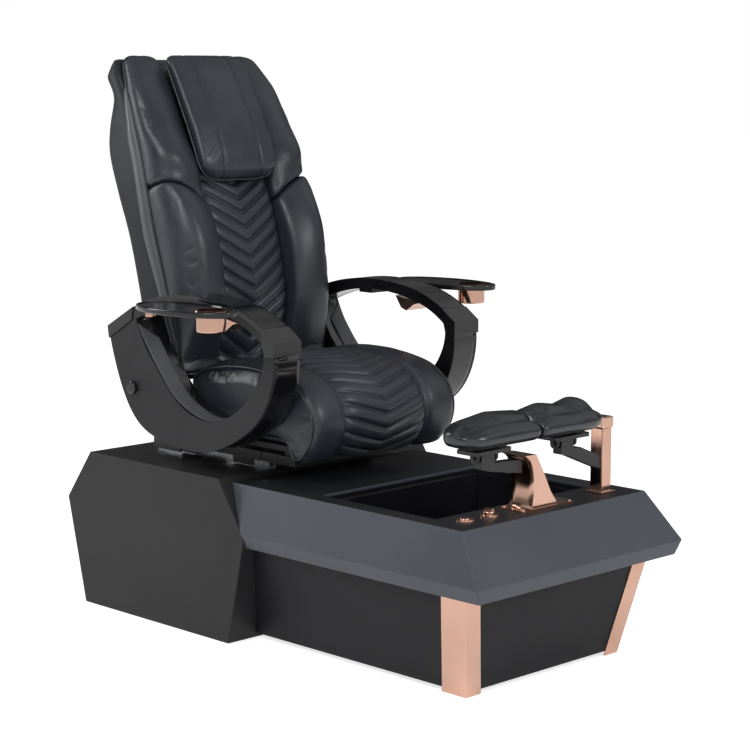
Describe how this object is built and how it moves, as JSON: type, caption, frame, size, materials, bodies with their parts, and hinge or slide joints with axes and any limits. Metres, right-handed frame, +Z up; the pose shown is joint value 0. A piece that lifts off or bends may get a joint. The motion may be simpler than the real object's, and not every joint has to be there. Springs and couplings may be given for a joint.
{
  "type": "pedicure spa chair",
  "caption": "Reclining massage chair on a foot spa base: faceted plinth with leg trims, black foot basin, twin tilting footrests, lift-up ring armrests with swivel cup trays.",
  "frame": {"origin": "floor, under the middle of the overall box", "axes": "+X from the backrest towards the footrests, +Y to the sitter's left, +Z up"},
  "size_m": [1.504, 1.066, 1.458],
  "materials": {
    "base_panel": "satin black textured moulding",
    "apron": "satin slate moulding",
    "plinth": "satin black panel",
    "basin": "smooth black liner",
    "rose_gold": "polished rose gold plating",
    "leather": "soft black synthetic leather with fine grain",
    "pad_skin": "self-skinned black polyurethane, satin",
    "arm_gloss": "piano black",
    "arm_matte": "fine textured dark grey",
    "back_shell": "dark grey grained cover",
    "black_metal": "black powder coat",
    "steel": "zinc plated",
    "inner_plastic": "moulded black",
    "white_plastic": "pipe plastic",
    "roller": "firm rubber"
  },
  "bodies": {
    "base": {"rear_base_cover": "base_panel", "service_panel": "base_panel", "base_frame": "black_metal", "tub_frame": "black_metal", "levelling_feet": "inner_plastic", "tub_apron": "apron", "plinth_front_panel": "plinth", "plinth_side_panels": "plinth", "front_leg_trims": "rose_gold", "foot_basin": "basin", "basin_drain": "white_plastic", "jet_pump": "inner_plastic", "jet_cover": "basin", "control_bezels": "rose_gold", "air_switch_body": "inner_plastic", "mixer_valve": "steel", "power_inlet": "inner_plastic", "control_box": "inner_plastic", "slide_rails": "steel", "slide_motor": "inner_plastic", "footrest_bracket": "rose_gold", "footrest_post": "rose_gold", "footrest_post_cap": "rose_gold", "right_footrest_arm": "black_metal", "left_footrest_arm": "black_metal", "footrest_bolts": "rose_gold"},
    "air_button": {"air_switch_button": "rose_gold"},
    "mixer_knob": {"mixer_knob": "rose_gold"},
    "right_footrest": {"right_footrest_plate": "black_metal", "right_footrest_pad": "pad_skin"},
    "left_footrest": {"left_footrest_plate": "black_metal", "left_footrest_pad": "pad_skin"},
    "carriage": {"slide_rod": "steel", "carriage_frame": "black_metal", "recline_actuator": "inner_plastic", "seat_pan": "inner_plastic", "seat_cushion": "leather", "arm_pivot_bolts": "arm_gloss"},
    "recline_rod": {"recline_rod": "steel"},
    "backrest": {"back_frame": "black_metal", "rear_cover": "back_shell", "back_cushion": "leather", "head_pillow": "leather", "massage_track": "steel"},
    "massage_slider": {"massage_carriage": "inner_plastic"},
    "rollers": {"massage_rollers": "roller"},
    "right_arm": {"right_arm_ring": "arm_gloss", "right_arm_side_shell": "arm_matte", "right_tray_hinge_block": "rose_gold", "right_tray_link": "black_metal"},
    "right_tray": {"right_tray_plate": "arm_gloss", "right_cup_holder": "rose_gold", "right_tray_swivel_pin": "rose_gold"},
    "left_arm": {"left_arm_ring": "arm_gloss", "left_arm_side_shell": "arm_matte", "left_tray_hinge_block": "rose_gold", "left_tray_link": "black_metal"},
    "left_tray": {"left_tray_plate": "arm_gloss", "left_cup_holder": "rose_gold", "left_tray_swivel_pin": "rose_gold"}
  },
  "joints": [
    {"name": "seat_slide", "type": "slide", "parent": "base", "child": "carriage", "axis": [1, 0, 0], "range_m": [-0.03, 0.1]},
    {"name": "recline", "type": "hinge", "parent": "carriage", "child": "backrest", "pos_m": [-0.425, 0, 0.59], "axis": [0, -1, 0], "range_deg": [0, 35]},
    {"name": "recline_rod_slide", "type": "slide", "parent": "carriage", "child": "recline_rod", "axis": [1, 0, 0], "range_m": [0, 0.091]},
    {"name": "massage_travel", "type": "slide", "parent": "backrest", "child": "massage_slider", "axis": [-0.2577, 0, 0.9662], "range_m": [-0.17, 0.17]},
    {"name": "roller_spin", "type": "hinge", "parent": "massage_slider", "child": "rollers", "pos_m": [-0.55022, 0, 1.03428], "axis": [0, 1, 0], "continuous": true},
    {"name": "right_arm_lift", "type": "hinge", "parent": "carriage", "child": "right_arm", "pos_m": [-0.467, -0.3, 0.606], "axis": [0, -1, 0], "range_deg": [0, 60]},
    {"name": "left_arm_lift", "type": "hinge", "parent": "carriage", "child": "left_arm", "pos_m": [-0.467, 0.3, 0.606], "axis": [0, -1, 0], "range_deg": [0, 60]},
    {"name": "right_tray_swivel", "type": "hinge", "parent": "right_arm", "child": "right_tray", "pos_m": [-0.266, -0.455, 0.83], "axis": [0, 0, -1], "range_deg": [0, 90]},
    {"name": "left_tray_swivel", "type": "hinge", "parent": "left_arm", "child": "left_tray", "pos_m": [-0.266, 0.455, 0.83], "axis": [0, 0, 1], "range_deg": [0, 90]},
    {"name": "right_footrest_tilt", "type": "hinge", "parent": "base", "child": "right_footrest", "pos_m": [0.597, -0.178, 0.541], "axis": [0, 1, 0], "range_deg": [-12, 12]},
    {"name": "left_footrest_tilt", "type": "hinge", "parent": "base", "child": "left_footrest", "pos_m": [0.597, 0.1, 0.541], "axis": [0, 1, 0], "range_deg": [-12, 12]},
    {"name": "air_button_press", "type": "slide", "parent": "base", "child": "air_button", "axis": [0, 0, -1], "range_m": [0, 0.003], "stiffness_N_per_m": 900},
    {"name": "mixer_turn", "type": "hinge", "parent": "base", "child": "mixer_knob", "pos_m": [0.603, -0.167, 0.402], "axis": [0, 0, 1], "range_deg": [-45, 90]}
  ],
  "couplings": [
    {"joint": "recline_rod_slide", "follows": "recline", "m_per_rad": 0.14659}
  ]
}
